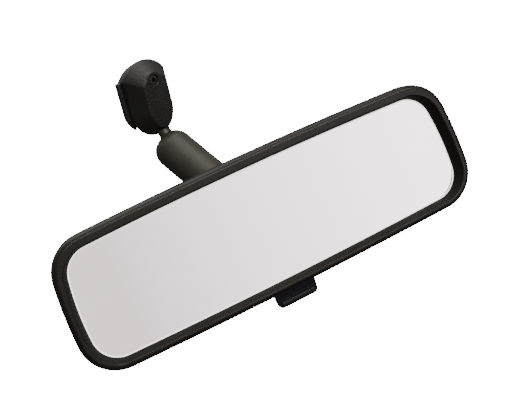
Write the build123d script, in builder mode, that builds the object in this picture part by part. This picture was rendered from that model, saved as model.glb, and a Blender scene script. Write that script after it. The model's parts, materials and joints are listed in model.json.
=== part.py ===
from build123d import *
import math
import os

os.makedirs("parts", exist_ok=True)

# Interior day/night rearview mirror: a framed prism glass on a two-ball arm, hung from a
# bracket that slides down over the button glued to a windshield.
#
# Frame, in millimetres: the origin is the middle of the button channel in the bracket's back
# face, +X is to the driver's right, +Y points into the windshield and +Z up along the channel.
# The arm and the head are modelled in frames of their own and set in place when written out.

# --- Driving dimensions: windshield bracket
rail_half = 14.5            # half the width over the two rails that grip the button
rail_top = 11.7
rail_depth = 3.0
rail_shoulder = -4.0        # the rails are straight down to here, then meet in a round foot
bracket_bottom = -19.5
dome_depth = 6.0            # depth at which the domed body is highest
dome_half = 12.5            # the domed body is a little narrower than the rails
dome_back_top = 17.8
dome_corner = 12.5
dome_top = 20.1
dome_shoulder = -7.0
dome_bottom = -20.4
front_depth = 15.0
front_half = 7.0            # half the width of the flat front of the spine
front_corner = 9.0
front_top = 13.0
front_shoulder = -3.0
front_bottom = -15.3
body_rounding = 1.5
button_width = 22.0
button_height = 31.0
button_clearance = 0.3
button_depth = 4.6
button_taper = 0.9          # how much narrower each side of the channel is at its top
dovetail = 1.5              # undercut on each side of the channel
channel_arch = 14.0         # radius of the channel's rounded top
screw_height = 10.5
screw_radius = 2.5
screw_length = 9.8
boss_radius = 4.3
boss_front = 15.0
screw_chamfer = 0.5
socket_depth = 3.0
socket_radius = 1.45        # to the corners of the hexagon
stud_bite = 7.6             # distance from the ball at which the stud enters the bracket
stud_length = 12.5

# --- Driving dimensions: ball joints and arm
ball_radius = 8.2
ball_gap = 0.12             # grease gap between a ball and what it runs in
neck_radius = 3.5
spigot_radius = 2.5
spigot_depth = 3.0
lower_stud_length = 24.0
stud_lean = 30              # the upper stud leans this far from straight down, to the cabin
upper_ball_y = -16.25
upper_ball_z = -26.9
arm_length = 53.1           # from ball centre to ball centre
arm_drop = 31.6             # the arm falls this far below the windshield's normal
arm_yaw = 7.3
tube_radius = 10.25
tube_bore = 8.75
swage_start = 1.5           # the tube's outside starts to draw in this far short of the ball
swage_middle = 2.6          # halfway round, it is this far past the ball's centre
swage_draw = 0.65           # and drawn in by this much
mouth_angle = 56            # half angle of the tube's swaged mouths, seen from the ball
lip_reach = 9.5             # from the ball's centre to the outside of the mouth's lip
cup_length = 8.5
cup_setback = 2.0           # from the ball's centre back to the cup's open end
cup_recess = 2.0            # depth of the spring's seat in the cup
spring_wire = 0.65
spring_radius = 6.2
spring_turns = 6
spring_clearance = 0.3
spring_end_gap = 0.1

# --- Driving dimensions: head
head_yaw = -18.5            # how the head is turned, tilted and rolled against the bracket
head_tilt = -18.2
head_roll = -5.0
lower_ball_depth = 33.0     # lower ball centre behind the glass
lower_ball_height = 3.5     # and above its middle
lower_lean = 40             # the lower stud leans up by this much from the glass's normal
opening_half = 95.0         # glass in sight
opening_top = 27.4
opening_bottom = -27.3
top_corner_half = 90.7
top_corner_height = 25.3
bottom_corner_half = 93.8
bottom_corner_height = -25.9
opening_widest = -7.0
corner_radius = 12.5
rim_top = 6.3               # width of the bezel round the glass
rim_bottom = 4.5
rim_side = 6.3
rim_height = 6.0            # how far the bezel stands in front of the glass
rim_rounding = 2.4
lip_rounding = 0.45
rim_slope = 12              # the bezel's inner slope, measured from the glass's normal
end_slope = 23              # the same at the bezel's two ends
parting = 1.0               # depth of the joint between bezel and rear housing
straight_depth = 1.5        # the walls run straight back this far, then draw in
housing_back = 20.0
draw_in = 7.5               # by how much the walls draw in towards the back
back_rounding = 5.0
wall = 1.6
tongue_length = 2.0
tongue_thickness = 0.8
glass_margin = 1.4          # glass hidden under the bezel
glass_thin = 2.4            # prism thickness at its lower and upper edges
glass_thick = 5.6
coating_thickness = 0.15
backing_thickness = 0.5

# --- Driving dimensions: day/night mechanism
hinge_depth = 13.0
hinge_height = 17.0
hinge_pin_radius = 1.5
hinge_pin_half = 20.0
carrier_half = 15.0
side_play = 0.4             # between a pin's bosses and what turns between them
carrier_front = 11.6
carrier_back = 14.4
carrier_bottom = -13.0
lever_depth = 9.5
lever_height = -20.5
lever_pin_radius = 1.25
lever_pin_half = 16.0
crank_radius = 4.95
crank_angle = 15            # the crank swings this far either side of straight up
peg_radius = 1.5
tab_root_half = 11.3
tab_tip_half = 10.5
tab_aside = 1.1             # the tab sits this far off the middle
tab_reach = 22.8            # from the lever's pivot to the tip of its tab
tab_lean = 9                # in the day position the tab leans back by this much
tab_thickness = 3.0
running_gap = 0.05
pin_chamfer = 0.3
hinge_boss_radius = 3.0
knuckle_radius = 2.9
knuckle_gap_half = 5.0
carrier_boss_start = 15.8   # distance from the ball to the boss round the lower stud
carrier_boss_radius = 5.6
fork_half = 4.0
fork_front = 4.9
fork_top = -10.6
fork_bottom = -16.9
fork_slot_top = -13.2
fork_clearance = 0.5
barrel_radius = 2.8
barrel_half = 12.5
cheek_inner = 4.4
cheek_outer = 6.4
cheek_radius = 2.2
lever_boss_radius = 2.6
lever_boss_floor = 16.0
lever_boss_low = -24.6
tab_corner = 2.5
grip_radius = 2.1           # rounded ridge along the tab's tip
grip_half = 9.0
grip_from_tip = 2.3
grip_rise = 0.6
slot_front = 3.1
slot_back = 13.3
slot_half = 12.9
slot_top = -23.5
slot_bottom = -35.0
window_half = 7.6
window_top = 2.0
window_bottom = -17.4
window_corner = 2.0
leaf_depth = 12.65
leaf_thickness = 0.5
leaf_height = 4.0
leaf_half = 15.4
bumper_x = 11.5
bumper_height = -12.5
bumper_radius = 2.2
bumper_thickness = 1.0
rib_places = (-76, -50, 50, 76)
rib_front = 7.4
rib_half = 20.0
rib_thickness = 1.6

# --- Where the arm and the head stand
upper_ball_centre = Vector(0, upper_ball_y, upper_ball_z)
arm_flat = arm_length * math.cos(math.radians(arm_drop))
arm_vector = Vector(
    arm_flat * math.sin(math.radians(arm_yaw)),
    -arm_flat * math.cos(math.radians(arm_yaw)),
    -arm_length * math.sin(math.radians(arm_drop)),
)
lower_ball_centre = upper_ball_centre + arm_vector
arm_middle = upper_ball_centre + arm_vector * 0.5
arm_place = Plane(origin=arm_middle, x_dir=(1, 0, 0), z_dir=arm_vector * -1).location
stud_place = Pos(*upper_ball_centre) * Rot(X=-stud_lean)
head_turn = Rot(Z=head_yaw) * Rot(X=head_tilt) * Rot(Y=head_roll)
head_place = Pos(*lower_ball_centre) * head_turn * Pos(0, -lower_ball_depth, -lower_ball_height)
lower_ball_place = head_place * Pos(0, lower_ball_depth, lower_ball_height) * Rot(X=90 + lower_lean)


def save(piece, name, place=Location()):
    """Label a finished piece, set it in the mirror's frame and write it."""
    finished = piece.part.moved(place)
    finished.label = name
    export_step(finished, f"parts/{name}.step")


# --- Windshield bracket: rails round the button, domed front, spine with the screw boss
def bracket_outline(depth, half, corner, top, shoulder, bottom):
    """Outline of the bracket's body at a depth: arched top, straight sides, rounded foot."""
    with BuildSketch(Plane.XZ.offset(depth)) as outline:
        with BuildLine():
            Line((-half, shoulder), (-half, corner))
            ThreePointArc((-half, corner), (0, top), (half, corner))
            Line((half, corner), (half, shoulder))
            EllipticalCenterArc((0, shoulder), half, shoulder - bottom, 180, arc_size=180)
        make_face()
    return outline.sketch


# The channel is dovetailed, narrows towards its top, and ends in an arch
with BuildPart() as button_channel:
    for height, narrowing in ((bracket_bottom - 1, 0), (button_height / 2, button_taper)):
        with BuildSketch(Plane.XY.offset(height)):
            inner = button_width / 2 + button_clearance - narrowing
            with BuildLine():
                Polyline(
                    (-inner + dovetail, 1),
                    (-inner + dovetail, -1),
                    (-inner, -button_depth),
                    (inner, -button_depth),
                    (inner - dovetail, -1),
                    (inner - dovetail, 1),
                    close=True,
                )
            make_face()
    loft()
    with BuildSketch(Plane.XZ.offset(-1)):
        with Locations((0, button_height / 2 - channel_arch)):
            Circle(channel_arch)
        with Locations((0, bracket_bottom)):
            Rectangle(2 * channel_arch, 2 * (button_height / 2 - channel_arch - bracket_bottom))
    extrude(amount=button_depth + 1, mode=Mode.INTERSECT)

stud_axis = Plane(stud_place)
with BuildPart() as windshield_bracket:
    sections = [
        bracket_outline(0, dome_half, rail_top, dome_back_top, dome_shoulder, bracket_bottom),
        bracket_outline(dome_depth, dome_half, dome_corner, dome_top, dome_shoulder, dome_bottom),
        bracket_outline(front_depth, front_half, front_corner, front_top, front_shoulder, front_bottom),
    ]
    loft([section.face() for section in sections], ruled=True)
    fillet(windshield_bracket.edges().filter_by(lambda e: e.center().Y < -rail_depth), body_rounding)
    with BuildSketch(Plane.XZ):
        with BuildLine():
            Line((-rail_half, rail_shoulder), (-rail_half, rail_top))
            Line((-rail_half, rail_top), (rail_half, rail_top))
            Line((rail_half, rail_top), (rail_half, rail_shoulder))
            ThreePointArc((rail_half, rail_shoulder), (0, bracket_bottom), (-rail_half, rail_shoulder))
        make_face()
    extrude(amount=rail_depth)
    with BuildSketch(Plane.XZ.offset(rail_depth)):
        with Locations((0, screw_height)):
            Circle(boss_radius)
    extrude(amount=boss_front - rail_depth)
    add(button_channel.part, mode=Mode.SUBTRACT)
    with BuildSketch(Plane.XZ):
        with Locations((0, screw_height)):
            Circle(screw_radius)
    extrude(amount=boss_front, mode=Mode.SUBTRACT)
    with BuildSketch(stud_axis.offset(stud_bite)):
        Circle(neck_radius)
    extrude(amount=stud_length - stud_bite, mode=Mode.SUBTRACT)
save(windshield_bracket, "windshield_bracket")

# Set screw: its point bears on the button, its hexagon socket faces the driver
with BuildPart() as set_screw:
    with BuildSketch(Plane.XZ.offset(button_depth)):
        with Locations((0, screw_height)):
            Circle(screw_radius)
    extrude(amount=screw_length)
    chamfer(set_screw.edges().filter_by(GeomType.CIRCLE), screw_chamfer)
    with BuildSketch(Plane.XZ.offset(button_depth + screw_length)):
        with Locations((0, screw_height)):
            RegularPolygon(socket_radius, 6)
    extrude(amount=-socket_depth, mode=Mode.SUBTRACT)
save(set_screw, "set_screw")


# --- Ball studs and balls, each modelled with its ball at the origin and its neck along +Z
def stud_profile(length):
    """Half section of a stud: its spigot inside the ball, then its neck."""
    spigot_end = math.sqrt(ball_radius**2 - neck_radius**2)
    with BuildSketch(Plane.XZ) as section:
        with BuildLine():
            Polyline(
                (0, -spigot_depth),
                (spigot_radius, -spigot_depth),
                (spigot_radius, spigot_end),
                (neck_radius, spigot_end + running_gap),
                (neck_radius, length),
                (0, length),
                close=True,
            )
        make_face()
    return section.sketch


with BuildPart() as upper_stud:
    revolve(stud_profile(stud_length), axis=Axis.Z)
save(upper_stud, "upper_stud", stud_place)

with BuildPart() as lower_stud:
    revolve(stud_profile(lower_stud_length), axis=Axis.Z)
save(lower_stud, "lower_stud", lower_ball_place)

for ball_name, place in (("upper_ball", stud_place), ("lower_ball", lower_ball_place)):
    with BuildPart() as ball:
        Sphere(ball_radius)
        flat_height = math.sqrt(ball_radius**2 - neck_radius**2)
        split(bisect_by=Plane.XY.offset(flat_height), keep=Keep.BOTTOM)
        with BuildSketch(Plane.XY.offset(-spigot_depth - running_gap)):
            Circle(spigot_radius + running_gap)
        extrude(amount=2 * ball_radius, mode=Mode.SUBTRACT)
    save(ball, ball_name, place)

# --- Arm: a tube with both ends swaged over the balls; its axis is Z, the upper ball at the top
seat_radius = ball_radius + ball_gap
half_length = arm_length / 2
mouth_sin = math.sin(math.radians(mouth_angle))
mouth_cos = math.cos(math.radians(mouth_angle))
seat_start = math.sqrt(seat_radius**2 - 1)
seat_mid = math.radians(mouth_angle + 12)
with BuildPart() as arm_tube:
    with BuildSketch(Plane.XZ):
        with BuildLine():
            Line((tube_bore, 0), (tube_radius, 0))
            Line((tube_radius, 0), (tube_radius, half_length - swage_start))
            ThreePointArc(
                (tube_radius, half_length - swage_start),
                (tube_radius - swage_draw, half_length + swage_middle),
                (lip_reach * mouth_sin, half_length + lip_reach * mouth_cos),
            )
            Line(
                (lip_reach * mouth_sin, half_length + lip_reach * mouth_cos),
                (seat_radius * mouth_sin, half_length + seat_radius * mouth_cos),
            )
            ThreePointArc(
                (seat_radius * mouth_sin, half_length + seat_radius * mouth_cos),
                (seat_radius * math.sin(seat_mid), half_length + seat_radius * math.cos(seat_mid)),
                (seat_start, half_length + 1),
            )
            Line((seat_start, half_length + 1), (tube_bore, half_length + 1))
            Line((tube_bore, half_length + 1), (tube_bore, 0))
        make_face()
    revolve(axis=Axis.Z)
    mirror(about=Plane.XY)
save(arm_tube, "arm_tube", arm_place)

# Two cups press the balls into the mouths, with one spring between them
cup_front = half_length - cup_setback
for cup_name, side in (("upper_cup", 1), ("lower_cup", -1)):
    with BuildPart() as cup:
        with BuildSketch(Plane.XY.offset(side * cup_front)):
            Circle(tube_bore - running_gap)
        extrude(amount=-side * cup_length)
        with Locations((0, 0, side * half_length)):
            Sphere(seat_radius, mode=Mode.SUBTRACT)
        with BuildSketch(Plane.XY.offset(side * (cup_front - cup_length))):
            Circle(spring_radius - spring_wire - spring_clearance)
        extrude(amount=-side * cup_recess)
    save(cup, cup_name, arm_place)

spring_half = cup_front - cup_length - spring_wire - spring_end_gap
with BuildPart() as arm_spring:
    with BuildLine() as coil:
        Helix(2 * spring_half / spring_turns, 2 * spring_half, spring_radius, center=(0, 0, -spring_half))
    with BuildSketch(Plane(origin=coil.line @ 0, z_dir=coil.line % 0)):
        Circle(spring_wire)
    sweep()
save(arm_spring, "arm_spring", arm_place)


# --- Head, modelled with the middle of the glass's front at the origin and the glass facing -Y
def slice_at(depth):
    """Plane across the head at this depth behind the glass, its normal pointing back."""
    return Plane(origin=(0, depth, 0), x_dir=(-1, 0, 0), z_dir=(0, 1, 0))


def head_outline(depth, top, bottom, side):
    """The opening's outline at a depth, grown by a margin above, below and at the ends."""
    top_corner = (top_corner_half + side, top_corner_height + top)
    bottom_corner = (bottom_corner_half + side, bottom_corner_height - bottom)
    with BuildSketch(slice_at(depth)) as outline:
        with BuildLine():
            for mirror_sign in (1, -1):
                ThreePointArc(
                    (mirror_sign * top_corner[0], top_corner[1]),
                    (mirror_sign * (opening_half + side), opening_widest),
                    (mirror_sign * bottom_corner[0], bottom_corner[1]),
                )
            ThreePointArc(
                (-top_corner[0], top_corner[1]), (0, opening_top + top), (top_corner[0], top_corner[1])
            )
            ThreePointArc(
                (-bottom_corner[0], bottom_corner[1]),
                (0, opening_bottom - bottom),
                (bottom_corner[0], bottom_corner[1]),
            )
        make_face()
        fillet(outline.vertices(), corner_radius + (top + bottom + 2 * side) / 4)
    return outline.sketch


def grown(depth, margin):
    return head_outline(depth, margin, margin, margin)


# Bezel: a rounded frame whose inner slope runs down to the glass, with a tongue behind
slope_margin = rim_height * math.tan(math.radians(rim_slope))
end_margin = rim_height * math.tan(math.radians(end_slope))
with BuildPart() as front_bezel:
    rim = head_outline(-rim_height, rim_top, rim_bottom, rim_side)
    extrude(rim, amount=rim_height + parting)
    fillet(front_bezel.faces().sort_by(Axis.Y)[0].outer_wire().edges(), rim_rounding)
    lip = head_outline(-rim_height, slope_margin, slope_margin, end_margin)
    loft([lip.face(), grown(0, 0).face()], ruled=True, mode=Mode.SUBTRACT)
    fillet(front_bezel.faces().sort_by(Axis.Y)[0].inner_wires()[0].edges(), lip_rounding)
    extrude(grown(parting, glass_margin + tongue_thickness), amount=tongue_length)
    extrude(grown(0, glass_margin), amount=parting + tongue_length, mode=Mode.SUBTRACT)
    with Locations((0, parting + tongue_length / 2, (slot_top + slot_bottom) / 2)):
        Box(2 * slot_half, tongue_length, slot_top - slot_bottom, mode=Mode.SUBTRACT)
save(front_bezel, "front_bezel", head_place)


# Rear housing: a pan whose walls run straight back, then draw in to a flat back
def pan(thickness):
    """Solid pan, smaller all round by this wall thickness."""
    top = rim_top - thickness
    bottom = rim_bottom - thickness
    side = rim_side - thickness
    back = housing_back - thickness
    with BuildPart() as solid:
        extrude(head_outline(parting, top, bottom, side), amount=straight_depth - parting)
        wide = head_outline(straight_depth, top, bottom, side)
        narrow = head_outline(back, top - draw_in, bottom - draw_in, side - draw_in)
        loft([wide.face(), narrow.face()], ruled=True)
        back_rim = solid.faces().sort_by(Axis.Y)[-1].outer_wire().edges()
        fillet(back_rim, back_rounding)
    return solid.part


def pin_bosses(depth, height, near, far, radius, floor, low):
    """A pair of bosses that hold a pin along X, each on a rib down to the pan's floor."""
    for side in (-1, 1):
        with Locations(Pos(side * (near + far) / 2, depth, height) * Rot(Y=90)):
            Cylinder(radius, far - near)
        with Locations((side * (near + far) / 2, (depth + floor) / 2, (height + radius + low) / 2)):
            Box(far - near, floor - depth, height + radius - low)


with BuildPart() as rear_housing:
    add(pan(0))
    add(pan(wall), mode=Mode.SUBTRACT)
    pin_bosses(
        hinge_depth, hinge_height, carrier_half + side_play, hinge_pin_half,
        hinge_boss_radius, housing_back - wall, hinge_height - hinge_boss_radius,
    )
    pin_bosses(
        lever_depth, lever_height, barrel_half + side_play, lever_pin_half,
        lever_boss_radius, lever_boss_floor, lever_boss_low,
    )
    for rib_x in rib_places:
        with Locations((rib_x, (rib_front + housing_back - 1) / 2, 0)):
            Box(rib_thickness, housing_back - 1 - rib_front, 2 * rib_half, mode=Mode.ADD)
    with Locations(Pos(0, hinge_depth, hinge_height) * Rot(Y=90)):
        Cylinder(hinge_pin_radius, 2 * hinge_pin_half, mode=Mode.SUBTRACT)
    with Locations(Pos(0, lever_depth, lever_height) * Rot(Y=90)):
        Cylinder(lever_pin_radius, 2 * lever_pin_half, mode=Mode.SUBTRACT)
    with Locations((0, leaf_depth, lever_height)):
        Box(2 * leaf_half, leaf_thickness, leaf_height, mode=Mode.SUBTRACT)
    with Locations((0, housing_back - wall / 2, (window_top + window_bottom) / 2)):
        Box(2 * window_half, 2 * wall, window_top - window_bottom, mode=Mode.SUBTRACT)
    fillet(
        rear_housing.edges().filter_by(Axis.Y).filter_by_position(Axis.X, -window_half, window_half)
        .filter_by_position(Axis.Z, window_bottom, window_top),
        window_corner,
    )
    with Locations((0, (slot_front + slot_back) / 2, (slot_top + slot_bottom) / 2)):
        Box(2 * slot_half, slot_back - slot_front, slot_top - slot_bottom, mode=Mode.SUBTRACT)
save(rear_housing, "rear_housing", head_place)

# Prism glass, its silvered coating and the sheet behind: wedges under one sloping plane
prism_angle = math.atan((glass_thick - glass_thin) / (opening_top - opening_bottom))
prism_back = Plane(
    origin=(0, (glass_thin + glass_thick) / 2, 0),
    x_dir=(1, 0, 0),
    z_dir=(0, math.cos(prism_angle), -math.sin(prism_angle)),
)
layers = (
    ("mirror_glass", None, 0),
    ("silver_coating", 0, coating_thickness),
    ("glass_backing", coating_thickness, coating_thickness + backing_thickness),
)
for layer_name, start, end in layers:
    with BuildPart() as layer:
        extrude(grown(0, glass_margin - running_gap), amount=2 * glass_thick)
        split(bisect_by=prism_back.offset(end), keep=Keep.BOTTOM)
        if start is not None:
            split(bisect_by=prism_back.offset(start), keep=Keep.TOP)
    save(layer, layer_name, head_place)

# --- Day/night mechanism: the head is hinged to a carrier on the lower stud, and the lever's
# crank pushes the carrier's fork, so that the head tips by a few degrees
stud_in_head = Plane(Pos(0, lower_ball_depth, lower_ball_height) * Rot(X=90 + lower_lean))
with BuildPart() as carrier_plate:
    plate_middle = (carrier_front + carrier_back) / 2
    with BuildSketch(stud_in_head.offset(carrier_boss_start)):
        Circle(carrier_boss_radius)
    extrude(amount=lower_stud_length + 1 - carrier_boss_start)
    split(bisect_by=slice_at(carrier_front), keep=Keep.TOP)
    with Locations((0, plate_middle, (hinge_height + carrier_bottom) / 2)):
        Box(2 * carrier_half, carrier_back - carrier_front, hinge_height - carrier_bottom)
    with Locations(Pos(0, hinge_depth, hinge_height) * Rot(Y=90)):
        Cylinder(knuckle_radius, 2 * carrier_half)
    with Locations((0, plate_middle, hinge_height)):
        Box(2 * knuckle_gap_half, 2 * knuckle_radius + 1, 2 * knuckle_radius + 1, mode=Mode.SUBTRACT)
    with Locations((0, (fork_front + carrier_back) / 2, (fork_bottom + fork_top) / 2)):
        Box(2 * fork_half, carrier_back - fork_front, fork_top - fork_bottom)
    peg_depth = lever_depth - crank_radius * math.sin(math.radians(crank_angle))
    with Locations((0, peg_depth, (fork_bottom + fork_slot_top) / 2)):
        Box(2 * fork_half, 2 * peg_radius + fork_clearance, fork_slot_top - fork_bottom, mode=Mode.SUBTRACT)
    with Locations(Pos(0, hinge_depth, hinge_height) * Rot(Y=90)):
        Cylinder(hinge_pin_radius + running_gap, 2 * carrier_half, mode=Mode.SUBTRACT)
    with BuildSketch(stud_in_head.offset(carrier_boss_start)):
        Circle(neck_radius)
    extrude(amount=lower_stud_length - carrier_boss_start, mode=Mode.SUBTRACT)
save(carrier_plate, "carrier_plate", head_place)

pins = (
    ("carrier_pin", hinge_depth, hinge_height, hinge_pin_radius, hinge_pin_half),
    ("lever_pin", lever_depth, lever_height, lever_pin_radius, lever_pin_half),
)
for pin_name, depth, height, radius, half in pins:
    with BuildPart() as pin:
        with Locations(Pos(0, depth, height) * Rot(Y=90)):
            Cylinder(radius, 2 * half)
        chamfer(pin.edges().filter_by(GeomType.CIRCLE), pin_chamfer)
    save(pin, pin_name, head_place)

# Lever: a barrel on its pin, two cheeks with the crank's peg, and the tab under the mirror
lean = math.radians(tab_lean)
tab_plane = Plane(
    origin=(tab_aside, lever_depth, lever_height), x_dir=(1, 0, 0), z_dir=(0, -math.cos(lean), -math.sin(lean))
)
with BuildPart() as day_night_lever:
    crank = math.radians(crank_angle)
    with Locations(Pos(0, lever_depth, lever_height) * Rot(Y=90)):
        Cylinder(barrel_radius, 2 * barrel_half)
    peg_height = lever_height + crank_radius * math.cos(crank)
    with Locations(Pos(0, peg_depth, peg_height) * Rot(Y=90)):
        Cylinder(peg_radius, 2 * cheek_outer)
    for side in (-1, 1):
        with BuildSketch(Plane.YZ.offset(side * (cheek_outer + cheek_inner) / 2)):
            with Locations(((lever_depth + peg_depth) / 2, (lever_height + peg_height) / 2)):
                SlotCenterToCenter(crank_radius, 2 * cheek_radius, rotation=90 + crank_angle)
        extrude(amount=(cheek_outer - cheek_inner) / 2, both=True)
    with BuildSketch(tab_plane) as tab_face:
        with BuildLine():
            Polyline(
                (-tab_root_half, 0),
                (tab_root_half, 0),
                (tab_root_half, -tab_reach / 2),
                (tab_tip_half, -tab_reach),
                (-tab_tip_half, -tab_reach),
                (-tab_root_half, -tab_reach / 2),
                close=True,
            )
        make_face()
        fillet(tab_face.vertices().group_by(Axis.Y)[0], tab_corner)
    extrude(amount=tab_thickness / 2, both=True)
    with Locations(tab_plane.location * Pos(0, grip_from_tip - tab_reach, grip_rise) * Rot(Y=90)):
        Cylinder(grip_radius, 2 * grip_half)
    with Locations(Pos(0, lever_depth, lever_height) * Rot(Y=90)):
        Cylinder(lever_pin_radius + running_gap, 2 * barrel_half, mode=Mode.SUBTRACT)
save(day_night_lever, "day_night_lever", head_place)

# Leaf spring behind the lever's barrel, its ends held in slots in the lever's bosses
with BuildPart() as toggle_spring:
    with Locations((0, leaf_depth, lever_height)):
        Box(2 * leaf_half, leaf_thickness, leaf_height)
save(toggle_spring, "toggle_spring", head_place)

# Rubber bumpers on the pan's floor, which stop the carrier at the night end
with BuildPart() as bumper_pads:
    with BuildSketch(slice_at(housing_back - wall - bumper_thickness)):
        with Locations((-bumper_x, bumper_height), (bumper_x, bumper_height)):
            Circle(bumper_radius)
    extrude(amount=bumper_thickness)
save(bumper_pads, "bumper_pads", head_place)
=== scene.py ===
import json
import math

import bmesh
import bpy
from mathutils import Matrix, Vector


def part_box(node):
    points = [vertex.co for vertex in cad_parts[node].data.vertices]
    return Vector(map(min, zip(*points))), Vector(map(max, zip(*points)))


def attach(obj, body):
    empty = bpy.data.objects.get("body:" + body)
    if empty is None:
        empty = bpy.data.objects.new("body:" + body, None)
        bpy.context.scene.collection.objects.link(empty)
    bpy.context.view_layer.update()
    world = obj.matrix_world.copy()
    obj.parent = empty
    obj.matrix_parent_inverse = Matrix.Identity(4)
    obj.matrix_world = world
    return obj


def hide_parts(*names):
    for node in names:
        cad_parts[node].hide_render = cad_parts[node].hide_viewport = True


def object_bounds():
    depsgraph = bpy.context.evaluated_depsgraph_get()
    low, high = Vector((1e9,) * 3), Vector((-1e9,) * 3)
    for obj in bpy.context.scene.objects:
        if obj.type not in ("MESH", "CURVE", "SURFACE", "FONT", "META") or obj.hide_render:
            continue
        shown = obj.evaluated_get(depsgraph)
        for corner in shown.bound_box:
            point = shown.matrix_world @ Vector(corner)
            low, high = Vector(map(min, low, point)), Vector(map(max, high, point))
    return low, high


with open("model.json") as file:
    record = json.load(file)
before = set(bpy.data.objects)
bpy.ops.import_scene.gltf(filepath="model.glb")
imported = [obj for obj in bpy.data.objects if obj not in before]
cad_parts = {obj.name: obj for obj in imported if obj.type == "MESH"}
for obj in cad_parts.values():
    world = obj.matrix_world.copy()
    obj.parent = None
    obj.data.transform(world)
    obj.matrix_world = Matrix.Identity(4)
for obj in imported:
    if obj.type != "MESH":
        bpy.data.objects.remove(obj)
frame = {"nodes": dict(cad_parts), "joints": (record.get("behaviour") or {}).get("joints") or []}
cad_lo, cad_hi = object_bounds()
nodes = frame["nodes"]
joints = {j["name"]: j for j in frame["joints"]}
MM = 0.001

# --- Camera: where it stands, which way is up in it, and its lens
CAMERA_AT = Vector((-0.2078, -0.3759, 0.1313))
CAMERA_UP = Vector((0.42375, 0.21607, 0.87963))
CAMERA_BACK = Vector((-0.51894, -0.73804, 0.43128))
CAMERA_LENS = 59.49
SENSOR_WIDTH = 36.0
NEAREST = 0.01

# --- Colours, linear
BLACK_PAINT = (0.0105, 0.011, 0.0102)
BLACK_PLASTIC = (0.0065, 0.0061, 0.005)
# The bezel's inner slope, a little darker than the bezel itself: painted shade
SLOPE_PAINTED_SHADE = (0.006, 0.006, 0.0054)
BLACK_LEVER = (0.008, 0.009, 0.012)
# The set screw's dark steel, made lighter and greenish for the lit ring round its hole: partly painted
# highlight
SCREW_STEEL_PAINTED_HIGHLIGHT = (0.05, 0.055, 0.05)
BLACK_RUBBER = (0.02, 0.02, 0.02)
STUD_PAINT = (0.022, 0.022, 0.021)
TUBE_PAINT = (0.022, 0.0215, 0.017)
BALL_STEEL = (0.42, 0.42, 0.43)
SPRING_STEEL = (0.35, 0.35, 0.36)
PIN_STEEL = (0.55, 0.55, 0.56)
CARRIER_GREY = (0.30, 0.30, 0.31)
NYLON = (0.72, 0.70, 0.63)
SILVER = (0.88, 0.88, 0.90)
BACKING = (0.08, 0.08, 0.08)
MIRROR_TINT = (0.87, 0.835, 0.86)
GROUND_GLASS = (0.86, 0.84, 0.80)
# The colour of the glow painted on the glass's ground edge: a painted highlight
EDGE_PAINTED_GLOW_COLOUR = (1.0, 0.97, 0.93)
FLOOR_WHITE = (0.93, 0.93, 0.93)
SKY_WHITE = (1.0, 0.99, 0.97)

# --- How every surface is broken up
PATCH = 18 * MM             # size of the patches of slightly different colour and gloss
PATCH_RANGE = (0.3, 0.7)    # the noise values between which a patch goes from dark to light
PATCH_GLOSS = 0.06          # how far the roughness wanders from patch to patch
SPECKLE_RANGE = (0.35, 0.75)
SPECKLE_SHARE = 0.35
SPECKLE_LIFT = 1.8          # a speckle is this much lighter
SCUFF = 3.5 * MM            # size of the scuffs along the edges
SCUFF_RANGE = (0.42, 0.62)
SCUFF_GLOSS = 0.12          # how much smoother a scuff is
EDGE_REACH = 0.6 * MM       # wear reaches this far from an edge
EDGE_RANGE = (0.995, 0.93)  # a face's own normal against the rounded one, from flat to sharp
EDGE_SAMPLES = 4
WIPE = 30 * MM              # size of the wipe marks on the glass
WIPE_STRETCH = (1.0, 1.0, 3.0)
WIPE_RANGE = (0.35, 0.8)
WIPE_HAZE = 0.035
WIPE_DIM = 0.985

# --- Details
BEZEL_SPINE = 65 * MM       # half the line, along the head's middle, that the bezel runs round
SLOPE_FACING = 0.7          # how squarely a face looks at that line if it's the inner slope
EDGE_POINTS = 360
EDGE_SECTION = ((-0.15, 0.01), (0.0, 0.07), (0.22, 0.10), (0.42, 0.07), (0.55, 0.01))
# How strongly the glass's ground edge glows: a painted highlight, not a lamp
EDGE_PAINTED_GLOW = 1.6

# --- Stage and lights
TENT_RADIUS = 4.0
FLOOR_DROP = 0.22
STAGE_GLOW = 22.0
SKY_RISE = (-0.2, 0.7, 0.10, 0.55)    # from this height to this one, the sky's glow rises
CARD_AWAY = 1.6
CARD_SIZE = (1.25, 0.62)
CARD_RANGE = (0.2, 0.8)
CARD_DIM = (1.75, 1.50, 1.50)         # what the mirror shows at its left end
CARD_BRIGHT = (4.6, 3.9, 4.3)         # and at its right end
STRIP_RISE = math.radians(34)         # the strip light stands this far above the card
STRIP_SIZE = (1.5, 0.2)
STRIP_GLOW = 24.0
STRIP_WARMTH = (1.0, 0.91, 0.79)
BEHIND_AT = Vector((0.0, 1.1, 1.0))
BEHIND_SIZE = (1.3, 1.0)
BEHIND_GLOW = 2.0
OVERHEAD_AT = Vector((0.10, 0.15, 0.9))
OVERHEAD_SIZE = (0.9, 0.7)
OVERHEAD_GLOW = 3.6
OVERHEAD_WARMTH = (1.0, 0.985, 0.95)


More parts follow.
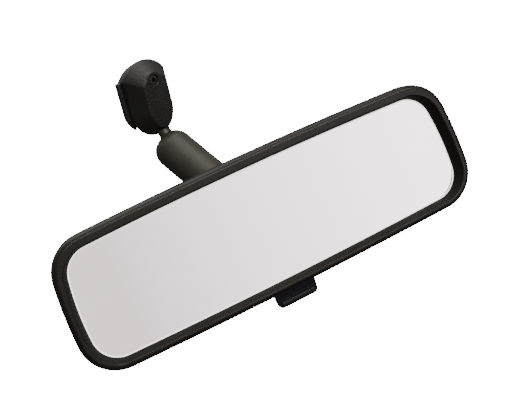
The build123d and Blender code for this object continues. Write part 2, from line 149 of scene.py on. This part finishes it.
# --- Materials
class Nodes:
    """A small helper that adds nodes to one material and links them."""

    def __init__(self, name):
        self.material = bpy.data.materials.new(name)
        self.material.use_nodes = True
        self.tree = self.material.node_tree
        self.shader = self.tree.nodes["Principled BSDF"]

    def add(self, kind, inputs=None, **settings):
        """A new shader node, with its settings, and its inputs set or linked."""
        node = self.tree.nodes.new("ShaderNode" + kind)
        for key, value in settings.items():
            setattr(node, key, value)
        for key, value in (inputs or {}).items():
            self.feed(node, key, value)
        return node

    def feed(self, node, key, value):
        """Link a socket to a node's input, or set the input to a value."""
        if isinstance(value, bpy.types.NodeSocket):
            self.tree.links.new(value, node.inputs[key])
        else:
            node.inputs[key].default_value = value

    def link(self, source, target):
        self.tree.links.new(source, self.shader.inputs[target])

    def object_space(self):
        return self.add("TexCoord").outputs["Object"]

    def noise(self, where, grain, detail=3.0, stretch=None):
        """Noise whose grains are this many metres across, drawn out along stretch if given."""
        if stretch:
            where = self.add("Mapping", {"Vector": where, "Scale": stretch}).outputs["Vector"]
        inputs = {"Vector": where, "Scale": 1 / grain, "Detail": detail}
        return self.add("TexNoise", inputs).outputs["Fac"]

    def remap(self, value, span, to_low, to_high):
        """The value scaled so that the span, low to high, lands on to_low to to_high."""
        inputs = {0: value, 1: span[0], 2: span[1], 3: to_low, 4: to_high}
        return self.add("MapRange", inputs).outputs["Result"]

    def mix(self, factor, first, second):
        """Colour mixed from first to second."""
        node = self.add("Mix", data_type="RGBA")
        self.feed(node, 0, factor)
        for index, colour in ((6, first), (7, second)):
            self.feed(node, index, (*colour, 1) if isinstance(colour, tuple) else colour)
        return node.outputs[2]

    def maths(self, operation, first, second):
        return self.add("Math", {0: first, 1: second}, operation=operation).outputs[0]

    def edges(self):
        """1 along sharp edges, 0 on the faces between them."""
        rounded = self.add("Bevel", {"Radius": EDGE_REACH}, samples=EDGE_SAMPLES).outputs["Normal"]
        normal = self.add("NewGeometry").outputs["Normal"]
        alike = self.add("VectorMath", {0: rounded, 1: normal}, operation="DOT_PRODUCT")
        return self.remap(alike.outputs["Value"], EDGE_RANGE, 0.0, 1.0)


def finish_of(name, colour, rough, grain, relief, wear=0.35, metal=0.0, pebbles=0.0,
              stretch=None, drift=0.25, specular=0.3):
    """A surface with fine grain, patchy colour and gloss, and edges that are a little worn.

    grain and relief are the size and the height of its grain in metres, pebbles how far the
    grain is cells, as in moulded plastic, and drift how far its colour wanders.
    """
    m = Nodes(name)
    where = m.object_space()
    fine = m.noise(where, grain, 2.0, stretch)
    broad = m.noise(where, PATCH)
    height = fine
    if pebbles:
        cells = m.add("TexVoronoi", {"Vector": where, "Scale": 1 / grain}).outputs["Distance"]
        height = m.maths("ADD", m.maths("MULTIPLY", cells, pebbles), fine)
    darker = tuple(c * (1 - drift) for c in colour)
    lighter = tuple(c * (1 + drift) for c in colour)
    speckle = tuple(c * SPECKLE_LIFT for c in colour)
    worn = tuple(min(1, c * 3 + 0.02) for c in colour)
    base = m.mix(m.remap(broad, PATCH_RANGE, 0.0, 1.0), darker, lighter)
    base = m.mix(m.remap(fine, SPECKLE_RANGE, 0.0, SPECKLE_SHARE), base, speckle)
    scuffs = m.remap(m.noise(where, SCUFF, 5.0), SCUFF_RANGE, 0.0, 1.0)
    worn_here = m.maths("MULTIPLY", m.maths("MULTIPLY", m.edges(), scuffs), wear)
    m.link(m.mix(worn_here, base, worn), "Base Color")
    patchy = m.remap(broad, PATCH_RANGE, rough - PATCH_GLOSS, rough + PATCH_GLOSS)
    m.link(m.maths("SUBTRACT", patchy, m.maths("MULTIPLY", worn_here, SCUFF_GLOSS)), "Roughness")
    m.shader.inputs["Metallic"].default_value = metal
    m.shader.inputs["Specular IOR Level"].default_value = specular
    bump = m.add("Bump", {"Height": height, "Distance": relief, "Strength": 1.0})
    m.link(bump.outputs["Normal"], "Normal")
    return m.material


def mirror_finish(name, colour):
    """Silvered glass: a clean mirror with the faintest haze where it has been wiped."""
    m = Nodes(name)
    wiped = m.noise(m.object_space(), WIPE, 4.0, WIPE_STRETCH)
    tint = m.remap(wiped, PATCH_RANGE, 0.0, 1.0)
    m.link(m.mix(tint, colour, tuple(c * WIPE_DIM for c in colour)), "Base Color")
    m.link(m.remap(wiped, WIPE_RANGE, 0.0, WIPE_HAZE), "Roughness")
    m.shader.inputs["Metallic"].default_value = 1.0
    return m.material


def stud_paint(name):
    return finish_of(name, STUD_PAINT, rough=0.36, grain=0.6 * MM, relief=0.01 * MM, wear=0.6)


def ball_steel(name):
    return finish_of(name, BALL_STEEL, rough=0.24, grain=0.5 * MM, relief=0.004 * MM, metal=1.0, drift=0.1)


def cup_nylon(name):
    return finish_of(name, NYLON, rough=0.45, grain=0.8 * MM, relief=0.01 * MM, drift=0.06)


def pin_steel(name):
    return finish_of(name, PIN_STEEL, rough=0.25, grain=0.4 * MM, relief=0.004 * MM, metal=1.0, drift=0.08)


finishes = {
    "windshield_bracket": finish_of(
        "bracket_paint", BLACK_PAINT, rough=0.46, grain=0.7 * MM, relief=0.13 * MM, wear=0.5, pebbles=0.6
    ),
    # The set screw is lighter than its dark steel would be: partly painted highlight
    "set_screw": finish_of(
        "screw_black", SCREW_STEEL_PAINTED_HIGHLIGHT, rough=0.38, grain=0.4 * MM, relief=0.01 * MM, metal=0.7
    ),
    "upper_stud": stud_paint("stud_paint"),
    "lower_stud": stud_paint("stud_paint_low"),
    "upper_ball": ball_steel("ball_steel"),
    "lower_ball": ball_steel("ball_steel_low"),
    "arm_tube": finish_of(
        "tube_paint", TUBE_PAINT, rough=0.40, grain=0.45 * MM, relief=0.014 * MM, wear=0.4
    ),
    "upper_cup": cup_nylon("cup_nylon"),
    "lower_cup": cup_nylon("cup_nylon_low"),
    "arm_spring": finish_of(
        "spring_steel", SPRING_STEEL, rough=0.30, grain=0.4 * MM, relief=0.005 * MM, metal=1.0
    ),
    "toggle_spring": finish_of(
        "leaf_steel", SPRING_STEEL, rough=0.28, grain=0.6 * MM, relief=0.005 * MM, metal=1.0,
        stretch=(1, 8, 8),
    ),
    "carrier_plate": finish_of(
        "carrier_metal", CARRIER_GREY, rough=0.42, grain=0.7 * MM, relief=0.03 * MM, metal=0.9, pebbles=0.4
    ),
    "carrier_pin": pin_steel("pin_steel"),
    "lever_pin": pin_steel("pin_steel_low"),
    "front_bezel": finish_of(
        "bezel_plastic", BLACK_PLASTIC, rough=0.34, grain=0.5 * MM, relief=0.03 * MM, pebbles=0.5,
        specular=0.2,
    ),
    "rear_housing": finish_of(
        "housing_plastic", BLACK_PLASTIC, rough=0.47, grain=0.6 * MM, relief=0.05 * MM, pebbles=1.0
    ),
    "day_night_lever": finish_of(
        "lever_plastic", BLACK_LEVER, rough=0.40, grain=0.4 * MM, relief=0.012 * MM, wear=0.5, specular=0.16
    ),
    "mirror_glass": mirror_finish("prism_glass", MIRROR_TINT),
    "silver_coating": finish_of(
        "silver", SILVER, rough=0.12, grain=1.0 * MM, relief=0.002 * MM, metal=1.0, drift=0.03
    ),
    "glass_backing": finish_of("backing", BACKING, rough=0.85, grain=0.9 * MM, relief=0.06 * MM, wear=0.0),
    "bumper_pads": finish_of("rubber", BLACK_RUBBER, rough=0.8, grain=0.5 * MM, relief=0.04 * MM, wear=0.0),
}


def put_finish(piece, finish):
    """Put one finish on a whole piece."""
    piece.data.materials.clear()
    piece.data.materials.append(finish)


for node_name, finish in finishes.items():
    put_finish(nodes[node_name], finish)


def new_object(name, data):
    """A new object in the scene that shows this mesh, light or camera."""
    made = bpy.data.objects.new(name, data)
    bpy.context.scene.collection.objects.link(made)
    return made


def shade_smooth(mesh):
    for polygon in mesh.polygons:
        polygon.use_smooth = True


# --- Cast and moulded pieces, made from the CAD's shape with every edge rounded over
def softened(node_name, piece_name, body, voxel, passes):
    """The node's shape remeshed finely and smoothed, standing for the node."""
    rough = new_object(piece_name + "_rough", nodes[node_name].data.copy())
    remesh = rough.modifiers.new("remesh", "REMESH")
    remesh.mode = "VOXEL"
    remesh.voxel_size = voxel
    smooth = rough.modifiers.new("smooth", "SMOOTH")
    smooth.factor = 0.5
    smooth.iterations = passes
    graph = bpy.context.evaluated_depsgraph_get()
    mesh = bpy.data.meshes.new_from_object(rough.evaluated_get(graph))
    bpy.data.objects.remove(rough)
    mesh.name = piece_name
    shade_smooth(mesh)
    piece = new_object(piece_name, mesh)
    put_finish(piece, finishes[node_name])
    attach(piece, body)
    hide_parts(node_name)


softened("windshield_bracket", "bracket_casting", "bracket", voxel=0.28 * MM, passes=10)
softened("day_night_lever", "lever_moulding", "lever", voxel=0.22 * MM, passes=5)

# --- Where the glass is and how it faces
front_faces = [f for f in nodes["mirror_glass"].data.polygons if f.normal.y < -0.5]
glass_normal = sum((f.normal * f.area for f in front_faces), Vector()).normalized()
glass_across = -Vector(joints["night_flip"]["axis"]).normalized()
glass_up = glass_across.cross(-glass_normal)
glass_lo, glass_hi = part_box("mirror_glass")
glass_middle = (glass_lo + glass_hi) / 2
glass_height = max(f.center.dot(glass_normal) for f in front_faces)


# --- The bezel's inner slope: painted shade, a darker and duller copy of the bezel's plastic that doesn't glare beside the glass
def shade_bezel_slope():
    mesh = nodes["front_bezel"].data
    # A darker, duller copy of the bezel's plastic for its inner slope: painted shade
    shaded_slope_finish = finish_of(
        "bezel_slope_painted_shade", SLOPE_PAINTED_SHADE, rough=0.7, grain=0.42 * MM, relief=0.022 * MM, wear=0.2, specular=0.10
    )
    mesh.materials.append(shaded_slope_finish)
    for face in mesh.polygons:
        from_middle = face.center - glass_middle
        beside = max(-BEZEL_SPINE, min(BEZEL_SPINE, from_middle.dot(glass_across)))
        inward = beside * glass_across - from_middle
        inward -= inward.dot(glass_normal) * glass_normal
        if face.normal.dot(inward.normalized()) > SLOPE_FACING:
            face.material_index = 1


shade_bezel_slope()


# --- The glass's ground edge: a fine line where the glass meets the bezel, made to glow as a painted highlight
def open_edges(mesh):
    """Where each point leads to, along the border of the bezel's faces that lie on the glass."""
    seen = {}
    for face in mesh.polygons:
        corners = [mesh.vertices[v].co for v in face.vertices]
        if any(abs(corner.dot(glass_normal) - glass_height) >= 0.02 * MM for corner in corners):
            continue
        ring = [tuple(round(c, 6) for c in corner) for corner in corners]
        for first, second in zip(ring, ring[1:] + ring[:1]):
            seen.setdefault(frozenset((first, second)), []).append((first, second))
    return {ways[0][0]: ways[0][1] for ways in seen.values() if len(ways) == 1}


def opening_outline(count):
    """The bezel's opening where it meets the glass, as this many points going round."""
    after = open_edges(nodes["front_bezel"].data)
    loops = []
    while after:
        loop = [next(iter(after))]
        while loop[-1] in after:
            loop.append(after.pop(loop[-1]))
        loops.append([Vector(point) for point in loop[:-1]])
    whole = [loop for loop in loops if len(loop) > 20]
    inner = min(whole, key=lambda loop: max((p - glass_middle).length for p in loop))
    legs = [(b - a).length for a, b in zip(inner, inner[1:] + inner[:1])]
    step = sum(legs) / count
    points = []
    leg = 0
    gone = 0.0
    for index in range(count):
        while gone + legs[leg] < index * step:
            gone += legs[leg]
            leg += 1
        share = (index * step - gone) / legs[leg]
        points.append(inner[leg].lerp(inner[(leg + 1) % len(inner)], share))
    return points


def glass_edge_mesh():
    """A low rounded bead that runs round the opening on the glass."""
    ring = opening_outline(EDGE_POINTS)
    rows = []
    for index, point in enumerate(ring):
        along = (ring[(index + 1) % len(ring)] - ring[index - 1]).normalized()
        inward = along.cross(glass_normal)
        if inward.dot(glass_middle - point) < 0:
            inward = -inward
        rows.append([point + inward * x * MM + glass_normal * z * MM for x, z in EDGE_SECTION])
    width = len(EDGE_SECTION)
    faces = []
    for here in range(len(rows)):
        after = (here + 1) % len(rows)
        for k in range(width - 1):
            faces.append((here * width + k, here * width + k + 1, after * width + k + 1, after * width + k))
    mesh = bpy.data.meshes.new("glass_edge")
    mesh.from_pydata([p for row in rows for p in row], [], faces)
    mesh.update()
    shade_smooth(mesh)
    return mesh


ground = finish_of(
    "ground_glass_painted_glow", GROUND_GLASS, rough=0.3, grain=0.6 * MM, relief=0.01 * MM, wear=0.0, drift=0.04
)
painted_glow_shader = ground.node_tree.nodes["Principled BSDF"]
# The edge's emission is a painted highlight: the bead glows though it is no lamp
painted_glow_shader.inputs["Emission Color"].default_value = (*EDGE_PAINTED_GLOW_COLOUR, 1)
painted_glow_shader.inputs["Emission Strength"].default_value = EDGE_PAINTED_GLOW
glass_edge = new_object("glass_edge", glass_edge_mesh())
put_finish(glass_edge, ground)
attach(glass_edge, "head")


# --- Stage: a pale floor in a white tent, a sky that is brighter above, the card and the lights
def white_stage(name, build, at):
    """A white stage piece that only the camera sees: it doesn't light the mirror or show in it."""
    shape = bmesh.new()
    build(shape)
    mesh = bpy.data.meshes.new(name)
    shape.to_mesh(mesh)
    shape.free()
    piece = new_object(name, mesh)
    piece.location = at
    white = Nodes(name + "_white")
    white.shader.inputs["Base Color"].default_value = (*FLOOR_WHITE, 1)
    white.shader.inputs["Roughness"].default_value = 0.9
    white.shader.inputs["Emission Color"].default_value = (1, 1, 1, 1)
    white.shader.inputs["Emission Strength"].default_value = STAGE_GLOW
    white.material.cycles.emission_sampling = "NONE"
    mesh.materials.append(white.material)
    piece.visible_diffuse = False
    piece.visible_glossy = False
    piece.visible_transmission = False
    piece.visible_shadow = False


def flat_disc(shape):
    bmesh.ops.create_circle(shape, cap_ends=True, radius=TENT_RADIUS, segments=96)


def round_tent(shape):
    bmesh.ops.create_uvsphere(shape, u_segments=64, v_segments=32, radius=TENT_RADIUS)


floor_z = cad_lo.z - FLOOR_DROP
white_stage("floor", flat_disc, (0, 0, floor_z))
white_stage("tent", round_tent, (0, 0, floor_z))


def studio_sky():
    """A world whose glow rises with height."""
    world = bpy.data.worlds.new("studio")
    world.use_nodes = True
    tree = world.node_tree
    background = tree.nodes["Background"]
    where = tree.nodes.new("ShaderNodeTexCoord")
    parts = tree.nodes.new("ShaderNodeSeparateXYZ")
    rise = tree.nodes.new("ShaderNodeMapRange")
    for index, value in enumerate(SKY_RISE):
        rise.inputs[index + 1].default_value = value
    tree.links.new(where.outputs["Generated"], parts.inputs[0])
    tree.links.new(parts.outputs["Z"], rise.inputs[0])
    tree.links.new(rise.outputs[0], background.inputs["Strength"])
    background.inputs["Color"].default_value = (*SKY_WHITE, 1)
    bpy.context.scene.world = world


def mirror_card(thrown):
    """The card that the mirror shows, dimmer at one end, where the glass throws the camera's view."""
    shape = bmesh.new()
    bmesh.ops.create_grid(shape, x_segments=1, y_segments=1, size=0.5)
    mesh = bpy.data.meshes.new("card")
    shape.to_mesh(mesh)
    shape.free()
    card = new_object("card", mesh)
    across = (glass_across - glass_across.dot(thrown) * thrown).normalized()
    turn = Matrix((across, (-thrown).cross(across), -thrown)).transposed().to_4x4()
    place = Matrix.Translation(glass_middle + thrown * CARD_AWAY)
    card.matrix_world = place @ turn @ Matrix.Diagonal((*CARD_SIZE, 1, 1))
    card.visible_camera = False
    card.visible_shadow = False
    glow = Nodes("card_glow")
    sideways = glow.add("SeparateXYZ", {0: glow.add("TexCoord").outputs["Generated"]}).outputs["X"]
    shade = glow.mix(glow.remap(sideways, CARD_RANGE, 0.0, 1.0), CARD_DIM, CARD_BRIGHT)
    glow.tree.nodes.remove(glow.shader)
    emitter = glow.add("Emission", {"Color": shade, "Strength": 1.0})
    glow.tree.links.new(emitter.outputs[0], glow.tree.nodes["Material Output"].inputs["Surface"])
    mesh.materials.append(glow.material)


def area_light(name, at, target, size, radiance, colour=(1, 1, 1)):
    """A soft rectangular light of this radiance, which the camera doesn't see."""
    data = bpy.data.lights.new(name, "AREA")
    data.shape = "RECTANGLE"
    data.size, data.size_y = size
    data.energy = radiance * math.pi * size[0] * size[1]
    data.color = colour
    light = new_object(name, data)
    light.location = at
    light.rotation_euler = (target - at).to_track_quat("-Z", "Y").to_euler()
    light.visible_camera = False


look = (glass_middle - CAMERA_AT).normalized()
thrown = look - 2 * look.dot(glass_normal) * glass_normal
strip_way = (math.cos(STRIP_RISE) * thrown + math.sin(STRIP_RISE) * glass_up).normalized()
strip_at = glass_middle + strip_way * CARD_AWAY
middle = (cad_lo + cad_hi) / 2
studio_sky()
mirror_card(thrown)
area_light("strip", strip_at, glass_middle, STRIP_SIZE, STRIP_GLOW, STRIP_WARMTH)
area_light("behind", middle + BEHIND_AT, middle, BEHIND_SIZE, BEHIND_GLOW)
area_light("overhead", middle + OVERHEAD_AT, middle, OVERHEAD_SIZE, OVERHEAD_GLOW, OVERHEAD_WARMTH)

camera_data = bpy.data.cameras.new("camera")
camera_data.lens = CAMERA_LENS
camera_data.sensor_width = SENSOR_WIDTH
camera_data.clip_start = NEAREST
camera = new_object("camera", camera_data)
camera_right = CAMERA_UP.cross(CAMERA_BACK)
camera_turn = Matrix((camera_right, CAMERA_UP, CAMERA_BACK)).transposed().to_4x4()
camera.matrix_world = Matrix.Translation(CAMERA_AT) @ camera_turn
bpy.context.scene.camera = camera
